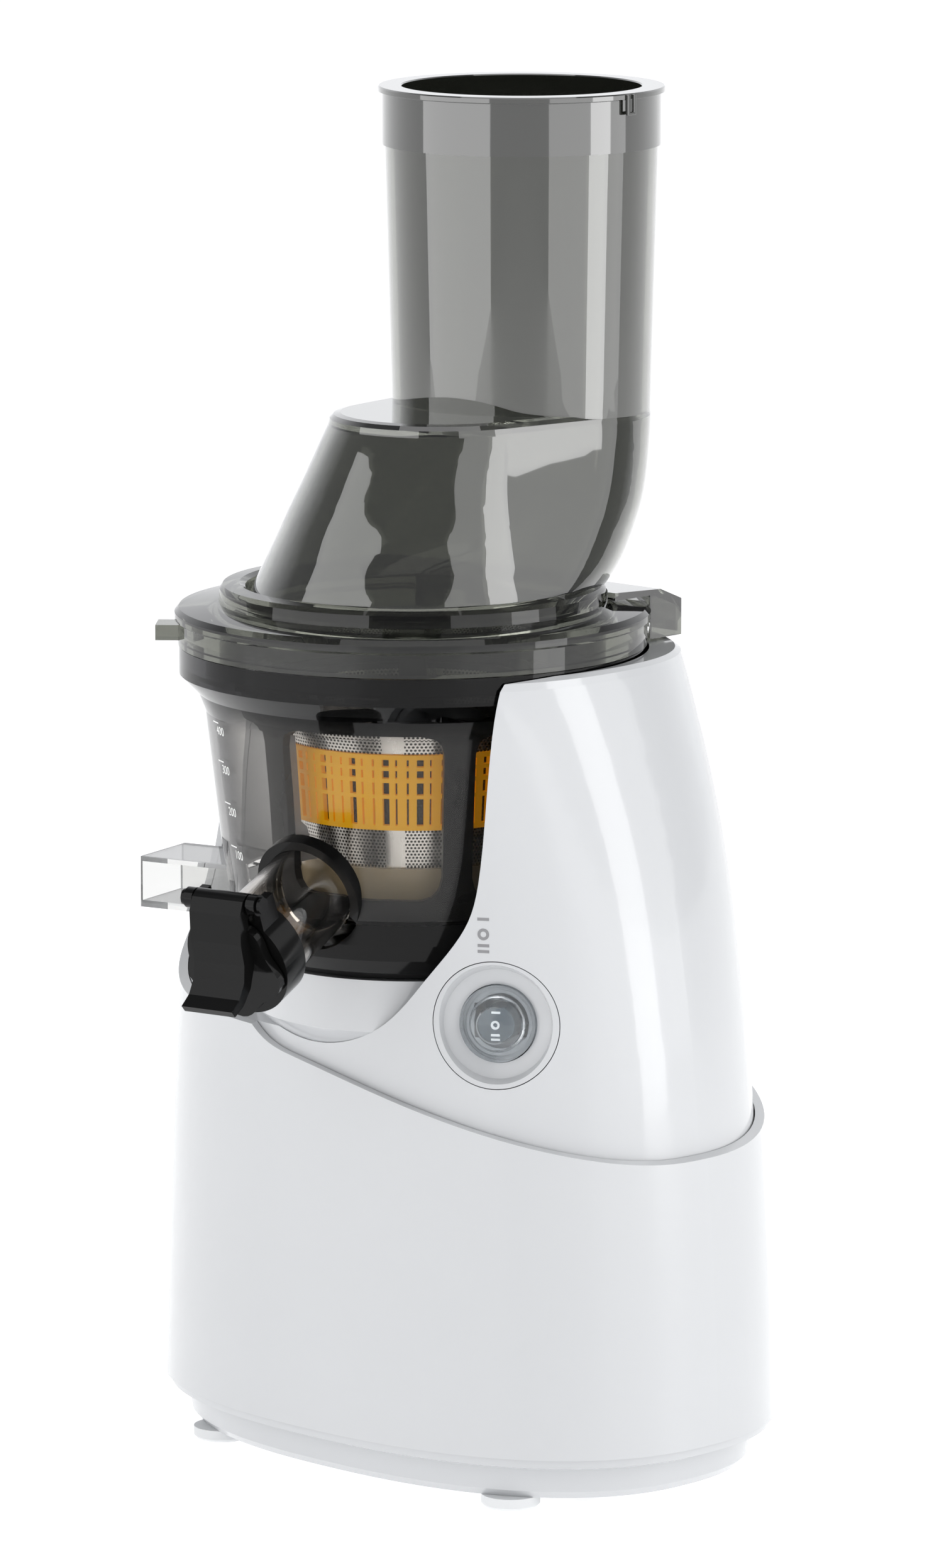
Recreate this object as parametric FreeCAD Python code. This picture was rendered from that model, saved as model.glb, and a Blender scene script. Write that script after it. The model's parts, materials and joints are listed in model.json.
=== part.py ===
import FreeCAD, Part
import math
import os

# Vertical slow juicer. Millimetres, +Z up, -Y is the front with the juice spout, +Y the back with
# the tower. The origin is at table level, at the middle of the footprint box.

os.makedirs("parts", exist_ok=True)
V = FreeCAD.Vector
UP = V(0, 0, 1)

# ---- driving dimensions -------------------------------------------------------------------------
HEIGHT = 448.0            # table to the top of the feed chute
ORIGIN_Y = 4.0            # middle of the footprint box, measured from the body's own datum
BOWL_Y = 11.0             # bowl and auger axis
CHUTE_Y = 62.8            # feed chute axis
WALL = 3.0                # housing wall
GAP = 0.4                 # clearance between fixed neighbours
STEP = 3.3                # how far the outer housing stands proud of the tower
OVAL = 2.36               # exponent of the oval body sections

FOOT_H = 4.0
SEAM_Z = 19.0             # bottom cover to outer housing
LIP_Z = 15.0              # underside of the bottom cover's lip
SEAT_Z = 169.5            # pedestal top, where the bowl rests
TOWER_TOP = 270.0
PEDESTAL_R, PEDESTAL_STEM_R = 51.5, 45.6

RIM_R = 75.6              # bowl rim
RIM_Z0, RIM_Z1 = 262.0, 271.0
BOWL_WALL = 2.6
FLOOR_Z0, FLOOR_Z1 = 174.5, 178.0
LEDGE_Z = 189.0           # top of the black base ring

LID_TOP = 284.0
COLLAR_TOP = 291.0
CHUTE_R0, CHUTE_R1 = 42.1, 44.4
CHUTE_WALL = 2.8
BAND_Z = 429.0

# Tower sections every SECTION_RISE upwards: half width, front, back.
SECTION_Z0, SECTION_RISE = 16.5, 25.0
TOWER_SECTIONS = [
    (107.3, -36.4, 110.4), (106.4, -36.2, 110.2), (105.3, -35.9, 109.9), (103.7, -35.7, 109.3),
    (101.9, -35.4, 108.5), (99.8, -35.1, 107.4), (97.3, -35.9, 106.0), (94.5, -37.8, 104.2),
    (90.9, -41.0, 101.6), (86.2, -46.0, 97.9), (80.4, -52.0, 93.4)]
TOWER_ROUND = [(266.5, 0.0), (268.8, 0.8), (TOWER_TOP, 2.6)]     # rounded top: height, inset
# Right limb of the front opening: half width, height.
OPENING_LIMB = [(0.0, 146.3), (16.6, 149.2), (28.5, 155.2), (37.5, 163.2), (45.5, 172.6),
                (53.2, 182.0), (59.6, 192.6), (63.0, 206.0), (66.0, 231.0), (69.0, 262.0),
                (71.0, 286.0)]
# Left side cut for the pulp duct, seen from the side: back, height.
SIDE_LIMB = [(-90.0, 146.5), (-45.0, 148.0), (-22.0, 152.0), (-6.0, 159.0), (6.0, 167.5), (14.0, 178.5),
             (18.0, 193.0), (20.0, 212.0), (22.0, 240.0), (24.0, 290.0)]
# Top edge of the outer housing, a sweep that falls from the left horn to the right flank.
SWEEP_EDGE = [(130.0, 103.0), (105.0, 112.3), (94.6, 115.7), (79.0, 120.2), (53.6, 127.0),
              (28.3, 133.4), (-6.0, 140.8), (-20.0, 144.6), (-29.0, 151.0), (-37.5, 160.6),
              (-45.5, 171.0), (-53.2, 181.4), (-59.6, 192.6), (-63.0, 206.0), (-66.0, 231.0),
              (-69.0, 262.0), (-71.0, 286.0)]

# Bowl outside: radius, height.
BOWL_OUTSIDE = [(55.6, FLOOR_Z0 + 5.0), (56.4, LEDGE_Z), (59.4, LEDGE_Z), (62.4, 209.0),
                (67.2, 250.0), (69.6, 256.0), (74.2, 260.6), (RIM_R, RIM_Z0), (RIM_R, RIM_Z1)]
# Recess that the bowl stands in: radius, height.
RECESS = [(59.0, SEAT_Z), (60.5, 186.0), (65.0, 209.0), (70.2, 250.0), (76.5, 259.5),
          (76.5, 290.0)]

# Gear train.
MOTOR_Y = 24.75
IDLER_Y = 54.75
STAGE1_MODULE, PINION_TEETH, WHEEL_TEETH = 1.0, 12, 48
STAGE2_MODULE, SMALL_TEETH, OUTPUT_TEETH = 1.25, 14, 56
BOWL_MODULE, AUGER_TEETH, RING_TEETH = 1.5, 16, 48
SHAFT_R = 6.0
HEX_FLATS = 10.0

# Juice spout: heading to the right of front and fall below level, in degrees.
SPOUT_HEADING, SPOUT_FALL = 10.0, 21.8
SPOUT_R, SPOUT_WALL, SPOUT_LEN = 15.5, 2.0, 40.0
SPOUT_ROOT_R, SPOUT_ROOT_Z = 62.0, 198.0
# Pulp duct: heading forward of left.
DUCT_HEADING = 13.4
DUCT_W, DUCT_H, DUCT_WALL = 28.0, 17.0, 2.0
DUCT_TIP, DUCT_Z = 95.3, 177.5

# Switch on the right flank.
SWITCH_AT = V(66.0, -21.2, 158.7)
SWITCH_AXIS = V(0.5, -0.866, 0.06)
BEZEL_R, BOOT_R = 20.5, 12.4
# Mains inlet at the back, near the right corner.
INLET_AT, INLET_AXIS = V(58.0, 107.0, 42.0), V(0.25, 0.97, 0.0)


# ---- helpers ------------------------------------------------------------------------------------
def cyl(radius, z0, z1, x=0.0, y=0.0):
    return Part.makeCylinder(radius, z1 - z0, V(x, y, z0))


def tube(outer, inner, z0, z1, x=0.0, y=0.0):
    return cyl(outer, z0, z1, x, y).cut(cyl(inner, z0 - 1, z1 + 1, x, y))


def box(x0, x1, y0, y1, z0, z1):
    return Part.makeBox(x1 - x0, y1 - y0, z1 - z0, V(x0, y0, z0))


def turned(profile, y=BOWL_Y, x=0.0):
    """Solid of revolution about a vertical axis from a closed (radius, height) outline."""
    points = [V(x + r, y, z) for r, z in profile]
    face = Part.Face(Part.makePolygon(points + points[:1]))
    return face.revolve(V(x, y, 0), UP, 360)


def smooth(points):
    curve = Part.BSplineCurve()
    curve.interpolate([V(*p) for p in points])
    return curve.toShape()


def oval(z, half_width, front, back, inset=0.0):
    """Closed oval section of the body."""
    middle, reach = (front + back) / 2, (back - front) / 2 - inset
    half_width = half_width - inset
    points = []
    for i in range(40):
        angle = 2 * math.pi * i / 40
        c, s = math.cos(angle), math.sin(angle)
        x = math.copysign(abs(c) ** (2 / OVAL), c) * half_width
        y = math.copysign(abs(s) ** (2 / OVAL), s) * reach + middle
        points.append(V(x, y, z))
    curve = Part.BSplineCurve()
    curve.interpolate(Points=points, PeriodicFlag=True)
    return Part.Wire(curve.toShape())


def body_loft(inset, top_inset=0.0, z_low=None):
    """Oval body, inset from the tower's outside; a negative inset gives the outer housing."""
    wires = []
    for i, section in enumerate(TOWER_SECTIONS):
        z = SECTION_Z0 + SECTION_RISE * i
        if i == 0:
            z -= top_inset
        wires.append(oval(z, *section, inset))
    flank = Part.makeLoft(wires, True, False)
    wires = [oval(z - top_inset * (z == TOWER_TOP), *TOWER_SECTIONS[-1], inset + shrink)
             for z, shrink in TOWER_ROUND]
    solid = flank.fuse(Part.makeLoft(wires, True, True))
    if top_inset:
        solid = solid.cut(box(-200, 200, -200, 300, TOWER_TOP - top_inset, TOWER_TOP + 9))
    if z_low is not None:
        solid = solid.cut(box(-200, 200, -200, 300, -10, z_low))
    return solid


def offset_line(points, distance):
    """Points moved sideways, to the right of the direction of travel."""
    moved = []
    for i, (x, z) in enumerate(points):
        x0, z0 = points[max(i - 1, 0)]
        x1, z1 = points[min(i + 1, len(points) - 1)]
        length = math.hypot(x1 - x0, z1 - z0)
        moved.append((x + distance * (z1 - z0) / length, z - distance * (x1 - x0) / length))
    return moved


def swept_along_y(points, closing, y0, y1):
    """Prism along Y under a smooth (x, z) line closed by straight edges."""
    line = smooth([(x, y0, z) for x, z in points])
    corners = [V(x, y0, z) for x, z in [points[-1]] + closing + [points[0]]]
    edges = [line] + [Part.makeLine(a, b) for a, b in zip(corners, corners[1:])]
    return Part.Face(Part.Wire(edges)).extrude(V(0, y1 - y0, 0))


def opening_prism(grow=0.0):
    """Front opening between the two horns, grown sideways by a wall."""
    limb = offset_line(OPENING_LIMB, grow)
    limb[0] = (0.0, OPENING_LIMB[0][1] - grow)
    line = [(-x, z) for x, z in reversed(limb[1:])] + limb
    return swept_along_y(line, [], -90.0, BOWL_Y)


def side_notch(grow=0.0):
    """Left side cut back for the pulp duct: a (back, up) line swept along X."""
    line = [(y, z) for y, z in offset_line(SIDE_LIMB, grow)]
    curve = smooth([(-140.0, y, z) for y, z in line])
    (y0, z0), (y1, z1) = line[0], line[-1]
    corners = [V(-140.0, y1, z1), V(-140.0, y0, z1), V(-140.0, y0, z0)]
    edges = [curve] + [Part.makeLine(a, b) for a, b in zip(corners, corners[1:])]
    return Part.Face(Part.Wire(edges)).extrude(V(140.0, 0, 0))


def recess_solid(grow=0.0):
    outline = [(0.0, SEAT_Z - grow)] + [(r + grow, z) for r, z in RECESS] + [(0.0, RECESS[-1][1])]
    outline[1] = (outline[1][0], SEAT_Z - grow)
    return turned(outline)


def gear(teeth, module, z0, z1, x, y, phase=0.0, backlash=0.16, addendum=0.85, dedendum=1.15):
    """External spur gear with straight-flanked teeth; phase in tooth pitches."""
    pitch_r = teeth * module / 2
    tip_r, root_r = pitch_r + addendum * module, pitch_r - dedendum * module
    half_tip = (0.125 - backlash / 4) * math.tau / teeth
    half_root = (0.335 - backlash / 4) * math.tau / teeth
    tooth = ((root_r, -half_root), (tip_r, -half_tip), (tip_r, half_tip), (root_r, half_root))
    points = []
    for i in range(teeth):
        middle = math.tau * (i + phase) / teeth
        for radius, shift in tooth:
            angle = middle + shift
            points.append(V(x + radius * math.cos(angle), y + radius * math.sin(angle), z0))
    return Part.Face(Part.makePolygon(points + points[:1])).extrude(V(0, 0, z1 - z0))


def local_frame(origin, axis, side=None):
    """Placement whose Z is the axis and X the side direction, levelled when none is given."""
    z = V(axis).normalize()
    x = V(side) if side else UP.cross(z)
    x = (x - z * x.dot(z)).normalize()
    y = z.cross(x)
    matrix = FreeCAD.Matrix(x.x, y.x, z.x, origin.x, x.y, y.y, z.y, origin.y,
                            x.z, y.z, z.z, origin.z, 0, 0, 0, 1)
    return FreeCAD.Placement(matrix)


def placed(shape, placement):
    copy = shape.copy()
    copy.Placement = placement.multiply(copy.Placement)
    return copy


def joined(shapes):
    total = shapes[0]
    for shape in shapes[1:]:
        total = total.fuse(shape)
    return total.removeSplitter()


def group(shapes):
    return Part.makeCompound(shapes)


heading = math.radians(SPOUT_HEADING)
fall = math.radians(SPOUT_FALL)
SPOUT_DIR = V(math.sin(heading) * math.cos(fall), -math.cos(heading) * math.cos(fall), -math.sin(fall))
SPOUT_ROOT = V(SPOUT_ROOT_R * math.sin(heading), BOWL_Y - SPOUT_ROOT_R * math.cos(heading), SPOUT_ROOT_Z)
SPOUT = local_frame(SPOUT_ROOT, SPOUT_DIR)
duct_angle = math.radians(DUCT_HEADING)
DUCT_DIR = V(-math.cos(duct_angle), -math.sin(duct_angle), 0)
DUCT = local_frame(V(0, BOWL_Y, DUCT_Z), DUCT_DIR, V(math.sin(duct_angle), -math.cos(duct_angle), 0))
SWITCH = local_frame(SWITCH_AT, SWITCH_AXIS)
INLET = local_frame(INLET_AT, INLET_AXIS)


# ---- housings -----------------------------------------------------------------------------------
def tower_body(inset):
    solid = body_loft(inset, top_inset=inset)
    solid = solid.cut(opening_prism(inset)).cut(side_notch(inset))
    solid = solid.cut(recess_solid(inset))
    stem_r, top_r, top_z = PEDESTAL_STEM_R - inset, PEDESTAL_R - inset, SEAT_Z - inset
    pedestal = turned([(0, 120.0), (stem_r, 120.0), (stem_r, 146.4), (top_r, 152.6), (top_r, top_z),
                       (0, top_z)])
    return solid.fuse(pedestal)


def make_tower_housing():
    shell = tallest(tower_body(0.0).cut(tower_body(WALL)))
    lip = offset_line(SWEEP_EDGE[:8], -7.0)
    below = swept_along_y(lip, [(-130.0, lip[-1][1]), (-130.0, -10.0), (130.0, -10.0)], -90.0, 200.0)
    shell = shell.cut(below)
    shell = shell.cut(cyl(9.0, SEAT_Z - 12, SEAT_Z + 2, 0.0, BOWL_Y))
    shell = shell.cut(placed(cyl(BEZEL_R + 0.3, -16.0, 12.0), SWITCH))
    return biggest(shell)


def biggest(shape):
    return max(shape.Solids, key=lambda solid: solid.Volume)


def tallest(shape):
    return max(shape.Solids, key=lambda solid: solid.BoundBox.ZMax)


def make_outer_housing():
    shell = body_loft(-STEP, z_low=SEAM_Z).cut(body_loft(-GAP, z_low=10.0))
    keep = swept_along_y(SWEEP_EDGE, [(-130.0, 286.0), (-130.0, -10.0), (130.0, -10.0)], -90.0, 200.0)
    shell = shell.common(keep)
    shell = shell.cut(opening_prism()).cut(side_notch()).cut(recess_solid())
    shell = shell.cut(placed(cyl(9.2, -6.0, 6.0), INLET))
    return biggest(shell)


def make_bottom_cover():
    first = TOWER_SECTIONS[0]
    plinth = Part.makeLoft([oval(FOOT_H, *first, inset=7.5), oval(FOOT_H + 2.5, *first, inset=5.4),
                            oval(LIP_Z + 0.1, *first, inset=4.4)], True, True)
    lip = Part.makeLoft([oval(LIP_Z, *first, inset=1.4), oval(LIP_Z + 1.0, *first, inset=-1.2),
                         oval(SEAM_Z - 0.3, *first, inset=-1.6)], True, True)
    inner = Part.makeLoft([oval(FOOT_H + WALL, *first, inset=11.0),
                           oval(LIP_Z + 1.0, *first, inset=8.0)], True, True)
    mouth = Part.makeLoft([oval(LIP_Z + 0.9, *first, inset=8.0),
                           oval(SEAM_Z + 1.0, *first, inset=4.0)], True, True)
    cover = plinth.fuse(lip).cut(inner).cut(mouth)
    for row in range(7):
        for side in (-1, 1):
            x = side * 34.0
            y = 8.0 + row * 9.0
            cover = cover.cut(box(x - 14.0, x + 14.0, y, y + 4.0, FOOT_H - 1, FOOT_H + WALL + 1))
    for x, y in SCREWS:
        cover = cover.fuse(cyl(5.0, FOOT_H + 1.0, SEAM_Z + 4.0, x, y))
        cover = cover.cut(cyl(2.1, FOOT_H - 1.0, SEAM_Z + 6.0, x, y))
        cover = cover.cut(cyl(4.2, FOOT_H - 1.0, FOOT_H + 4.0, x, y))
    return cover


FEET = [(sx * 65.0, y) for sx in (-1, 1) for y in (-12.5, 88.0)]
SCREWS = [(sx * 78.0, y) for sx in (-1, 1) for y in (8.0, 70.0)]


def make_feet():
    return group([turned([(0, 0), (8.5, 0), (9.5, 1.0), (9.5, FOOT_H), (0, FOOT_H)], y, x) for x, y in FEET])


def make_bottom_screws():
    screws = []
    for x, y in SCREWS:
        head = cyl(3.6, FOOT_H + 1.2, FOOT_H + 3.8, x, y)
        head = head.cut(box(x - 3.0, x + 3.0, y - 0.5, y + 0.5, FOOT_H + 1.0, FOOT_H + 2.2))
        screws.append(head.fuse(cyl(1.9, FOOT_H + 3.8, SEAM_Z + 5.0, x, y)))
    return group(screws)


def make_recess_liner():
    outline = [(r - 0.3, z) for r, z in RECESS[:5]]
    outline[0] = (RECESS[0][0] - 0.3, SEAT_Z + 0.3)
    inside = [(r - 1.3, z) for r, z in reversed(outline)]
    ring = turned(outline + inside)
    ring = ring.cut(opening_prism(2.5)).cut(side_notch(2.5))
    return biggest(ring.cut(box(-100, 100, -100, BOWL_Y - 22.0, 100, 300)))


# ---- switch -------------------------------------------------------------------------------------
def make_switch_bezel():
    plug = placed(cyl(BEZEL_R, -9.0, 12.0), SWITCH).common(body_loft(0.0))
    dish = Part.Face(Part.makePolygon([V(0, 0, 14), V(BEZEL_R + 2.6, 0, 14), V(BEZEL_R - 1.6, 0, -0.6),
                                       V(17.6, 0, -3.8), V(BOOT_R + 0.3, 0, -4.8),
                                       V(BOOT_R + 0.3, 0, -12), V(0, 0, -12), V(0, 0, 14)]))
    dish = dish.revolve(V(0, 0, 0), UP, 360)
    return biggest(plug.cut(placed(dish, SWITCH)))


def make_switch_body():
    case = cyl(BOOT_R, -12.0, -9.4).fuse(box(-9.0, 9.0, -9.0, 5.6, -25.0, -12.0))
    case = case.cut(box(-8.0, 8.0, -5.0, 5.0, -23.0, -9.0)).cut(cyl(8.2, -17.0, -9.0))
    tabs = [box(x - 0.4, x + 0.4, -3.0, 3.0, -30.0, -25.0) for x in (-6.0, 0.0, 6.0)]
    return placed(joined([case] + tabs), SWITCH)


def make_switch_boot():
    outside = [(0, 2.2), (3.0, 2.0), (6.0, 1.1), (8.3, -0.9), (9.2, -3.2), (10.2, -3.8), (BOOT_R, -3.4),
               (BOOT_R, -9.2), (BOOT_R - 1.4, -9.2), (BOOT_R - 1.4, -5.0), (8.7, -5.0), (8.0, -1.7),
               (5.6, 0.1), (2.8, 0.9), (0, 1.1)]
    points = [V(r, 0, z) for r, z in outside]
    face = Part.Face(Part.makePolygon(points + points[:1]))
    return placed(face.revolve(V(0, 0, 0), UP, 360), SWITCH)


ROCKER_PIVOT = -16.0


def make_rocker_button():
    top = Part.makeSphere(16.0, V(0, 0, ROCKER_PIVOT)).common(cyl(5.8, -14.0, 10.0))
    top = top.common(Part.makeSphere(15.4, V(0, 0, ROCKER_PIVOT)))
    top = top.common(box(-5.8, 5.8, -5.3, 5.3, -14.0, 10.0))
    pin = Part.makeCylinder(1.6, 15.0, V(-7.5, 0, ROCKER_PIVOT), V(1, 0, 0))
    stem = cyl(3.0, ROCKER_PIVOT - 3.0, -8.0)
    return placed(joined([top, stem, pin]), SWITCH)


def make_cord_inlet():
    flange = cyl(12.0, 2.0, 3.6)
    barrel = cyl(8.8, -8.0, 2.4)
    return placed(flange.fuse(barrel).cut(cyl(3.6, -9.0, 8.0)), INLET)


# ---- drive --------------------------------------------------------------------------------------
def make_motor_case():
    can = tube(41.0, 38.6, 38.0, 102.0, 0.0, MOTOR_Y)
    top = tube(41.0, 9.0, 102.0, 104.5, 0.0, MOTOR_Y)
    seat = tube(13.0, 9.0, 97.0, 103.0, 0.0, MOTOR_Y)
    case = can.fuse(top).fuse(seat)
    for i in range(8):
        slot = box(24.0, 34.0, -2.5, 2.5, 100.0, 106.0)
        slot.rotate(V(0, 0, 0), UP, 45 * i + 22.5)
        slot.translate(V(0, MOTOR_Y, 0))
        case = case.cut(slot)
    return case


def make_motor_bracket():
    ring = tube(41.0, 36.0, 34.0, 37.8, 0.0, MOTOR_Y)
    arms = []
    for angle in (45, 135, 225, 315):
        arm = box(10.0, 38.0, -4.0, 4.0, 34.0, 37.8)
        arm.rotate(V(0, 0, 0), UP, angle)
        arm.translate(V(0, MOTOR_Y, 0))
        arms.append(arm)
    legs = [cyl(4.0, FOOT_H + WALL + 0.2, 36.0, 38.5 * c, MOTOR_Y + 38.5 * s)
            for c, s in ((0.707, 0.707), (-0.707, 0.707), (0.707, -0.707), (-0.707, -0.707))]
    hub = tube(13.0, 9.0, 34.0, 39.5, 0.0, MOTOR_Y)
    return joined([ring, hub] + arms + legs).cut(cyl(9.0, 30.0, 42.0, 0.0, MOTOR_Y))


def make_motor_stator():
    core = tube(38.4, 21.0, 52.0, 88.0, 0.0, MOTOR_Y)
    for i in range(12):
        slot = box(22.0, 31.0, -2.6, 2.6, 51.0, 89.0)
        slot.rotate(V(0, 0, 0), UP, 30 * i)
        slot.translate(V(0, MOTOR_Y, 0))
        core = core.cut(slot)
    return core


def make_motor_windings():
    coils = []
    for i in range(12):
        coil = box(22.4, 30.6, -2.3, 2.3, 46.0, 94.0)
        coil.rotate(V(0, 0, 0), UP, 30 * i)
        coil.translate(V(0, MOTOR_Y, 0))
        coils.append(coil)
    return group(coils)


def make_motor_bearings():
    return group([tube(8.9, 4.02, z, z + 5.0, 0.0, MOTOR_Y) for z in (34.4, 98.0)])


def make_motor_rotor():
    shaft = cyl(4.0, 24.0, 110.5, 0.0, MOTOR_Y)
    core = cyl(20.2, 54.0, 86.0, 0.0, MOTOR_Y)
    pinion = gear(PINION_TEETH, STAGE1_MODULE, 110.5, 119.5, 0.0, MOTOR_Y, phase=0.0)
    return joined([shaft, core, pinion])


def make_motor_fan():
    hub = tube(8.0, 4.05, 24.5, 33.0, 0.0, MOTOR_Y)
    disc = tube(33.0, 4.05, 31.2, 33.0, 0.0, MOTOR_Y)
    blades = []
    for i in range(10):
        blade = box(7.0, 33.0, -0.8, 0.8, 25.0, 32.0)
        blade.rotate(V(0, 0, 0), UP, 36 * i)
        blade.translate(V(0, MOTOR_Y, 0))
        blades.append(blade)
    return joined([hub, disc] + blades)


def gearbox_outline(grow, z0, z1):
    front = cyl(40.0 + grow, z0, z1, 0.0, BOWL_Y)
    back = cyl(29.0 + grow, z0, z1, 0.0, IDLER_Y)
    web = box(-29.0 - grow, 29.0 + grow, BOWL_Y + 12.0, IDLER_Y, z0, z1)
    return joined([front, back, web])


def make_gearbox_housing():
    shell = gearbox_outline(0.0, 105.0, 139.0).cut(gearbox_outline(-2.4, 107.5, 140.0))
    shell = shell.cut(cyl(9.0, 100.0, 110.0, 0.0, MOTOR_Y))
    boss = tube(7.0, 4.0, 107.0, 109.6, 0.0, IDLER_Y)
    rest = tube(12.0, 9.0, 107.0, 109.0, 0.0, MOTOR_Y)
    return shell.fuse(boss).fuse(rest)


def make_gearbox_cover():
    plate = gearbox_outline(0.0, 139.1, 141.6)
    plate = plate.cut(cyl(11.1, 138.0, 143.0, 0.0, BOWL_Y))
    plate = plate.cut(cyl(4.0, 138.0, 143.0, 0.0, IDLER_Y))
    collar = tube(14.0, 11.1, 141.0, 152.0, 0.0, BOWL_Y)
    return plate.fuse(collar)


def make_output_bearings():
    return group([tube(11.0, SHAFT_R + 0.02, z, z + 5.0, 0.0, BOWL_Y) for z in (139.8, 146.4)])


def make_intermediate_gear():
    wheel = gear(WHEEL_TEETH, STAGE1_MODULE, 111.0, 119.0, 0.0, IDLER_Y, phase=0.5)
    small = gear(SMALL_TEETH, STAGE2_MODULE, 119.0, 136.5, 0.0, IDLER_Y, phase=0.0)
    return wheel.fuse(small).cut(cyl(4.0, 100.0, 140.0, 0.0, IDLER_Y))


def make_intermediate_shaft():
    return cyl(3.95, 107.6, 141.5, 0.0, IDLER_Y)


def make_output_gear():
    wheel = gear(OUTPUT_TEETH, STAGE2_MODULE, 124.0, 135.0, 0.0, BOWL_Y)
    for i in range(6):
        angle = math.radians(60 * i)
        wheel = wheel.cut(cyl(7.0, 120.0, 140.0, 21.0 * math.cos(angle), BOWL_Y + 21.0 * math.sin(angle)))
    hub = cyl(11.0, 122.5, 138.0, 0.0, BOWL_Y)
    return wheel.fuse(hub).cut(cyl(SHAFT_R, 100.0, 140.0, 0.0, BOWL_Y))


def hexagon(flats, z0, z1, y=BOWL_Y):
    radius = flats / math.sqrt(3)
    points = [V(radius * math.cos(math.radians(60 * i)), y + radius * math.sin(math.radians(60 * i)), z0)
              for i in range(7)]
    return Part.Face(Part.makePolygon(points)).extrude(V(0, 0, z1 - z0))


def make_drive_shaft():
    return cyl(SHAFT_R, 122.6, 176.0, 0.0, BOWL_Y).fuse(hexagon(HEX_FLATS, 176.0, 198.0))


def make_drive_seal():
    return tube(8.95, SHAFT_R + 0.05, 158.5, SEAT_Z, 0.0, BOWL_Y)


def make_control_board():
    board = box(-70.0, -22.0, 84.0, 85.6, 40.0, 92.0)
    parts = [box(-64.0, -48.0, 80.0, 84.0, 44.0, 60.0), box(-44.0, -30.0, 78.0, 84.0, 66.0, 84.0)]
    return joined([board] + parts)


def make_motor_capacitor():
    return Part.makeCylinder(9.0, 34.0, V(28.0, 84.0, 72.0), V(1, 0, 0))


def make_bowl_sensor():
    return box(-11.0, 11.0, 86.0, 91.5, 224.0, 244.0)


# ---- bowl ---------------------------------------------------------------------------------------
def spout_hole(radius):
    return placed(cyl(radius, -30.0, 70.0), SPOUT)


def duct_box(width, z0, z1, start, end):
    return placed(Part.makeBox(width, z1 - z0, end - start, V(-width / 2, z0, start)), DUCT)


def make_bowl():
    outline = [(0, FLOOR_Z0), (50.0, FLOOR_Z0), (54.2, FLOOR_Z0 + 1.6)] + BOWL_OUTSIDE
    outline += [(RIM_R - 8.6, RIM_Z1), (RIM_R - 8.6, 262.0), (RIM_R - 9.4, 256.0)]
    outline += [(BOWL_OUTSIDE[4][0] - BOWL_WALL, 250.0), (BOWL_OUTSIDE[3][0] - BOWL_WALL, 209.0)]
    outline += [(56.6, LEDGE_Z + 1.0), (53.6, LEDGE_Z - 3.0), (53.0, FLOOR_Z1), (0, FLOOR_Z1)]
    bowl = turned(outline)
    bowl = bowl.cut(cyl(8.6, FLOOR_Z0 - 1, FLOOR_Z1 + 1, 0.0, BOWL_Y))
    bowl = bowl.cut(spout_hole(SPOUT_R + 0.05))
    return bowl.cut(duct_box(DUCT_W, 0.0, DUCT_H, 45.0, 80.0))


def make_bowl_base_ring():
    outline = [(46.0, SEAT_Z + 0.7), (50.0, SEAT_Z + 0.7), (53.6, SEAT_Z + 2.9), (57.0, SEAT_Z + 7.5),
               (58.2, SEAT_Z + 12.5), (59.0, LEDGE_Z - 0.1), (56.6, LEDGE_Z - 0.1),
               (55.8, FLOOR_Z0 + 5.0), (54.4, FLOOR_Z0 + 1.5), (50.1, FLOOR_Z0 - 0.1),
               (46.0, FLOOR_Z0 - 0.1)]
    ring = turned(outline)
    ring = ring.cut(placed(cyl(SPOUT_R + 3.4, -30.0, 70.0), SPOUT))
    return ring.cut(duct_box(DUCT_W + 0.1, -0.05, DUCT_H, 45.0, 80.0))


def make_drip_gasket():
    return tube(45.8, 42.0, SEAT_Z + 0.7, FLOOR_Z0 - 0.1, 0.0, BOWL_Y)


def make_bowl_shaft_seal():
    ring = tube(8.5, SHAFT_R + 0.6, FLOOR_Z0, FLOOR_Z1, 0.0, BOWL_Y)
    return ring.fuse(tube(11.0, SHAFT_R + 0.6, FLOOR_Z0 - 2.0, FLOOR_Z0 - 0.1, 0.0, BOWL_Y))


def bowl_inner_void():
    outline = [(0, FLOOR_Z1), (55.7, FLOOR_Z1), (57.3, LEDGE_Z), (60.0, 209.0), (64.7, 250.0),
               (66.0, 300.0), (0, 300.0)]
    return turned(outline)


def make_spout_collar():
    ring = placed(cyl(SPOUT_R + 3.2, -22.0, -1.0), SPOUT).cut(spout_hole(SPOUT_R + 0.1))
    outside = turned([(0, 150), (56.7, 150), (56.7, LEDGE_Z - 0.1), (59.7, LEDGE_Z), (62.7, 209.0),
                      (67.5, 250.0), (0, 250.0)])
    return biggest(ring.cut(outside))


def make_juice_spout():
    pipe = placed(cyl(SPOUT_R, -20.0, SPOUT_LEN), SPOUT).cut(spout_hole(SPOUT_R - SPOUT_WALL))
    return biggest(pipe.cut(bowl_inner_void()))


RING_Z0, RING_Z1 = SPOUT_LEN - 9.0, SPOUT_LEN + 2.0
CAP_PIN = (SPOUT_R + 6.4, SPOUT_LEN + 1.0)      # up and out from the spout axis
LEVER_HALF = 9.6


def cross_bar(radius, half_length, y, z):
    return Part.makeCylinder(radius, 2 * half_length, V(-half_length, y, z), V(1, 0, 0))


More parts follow.
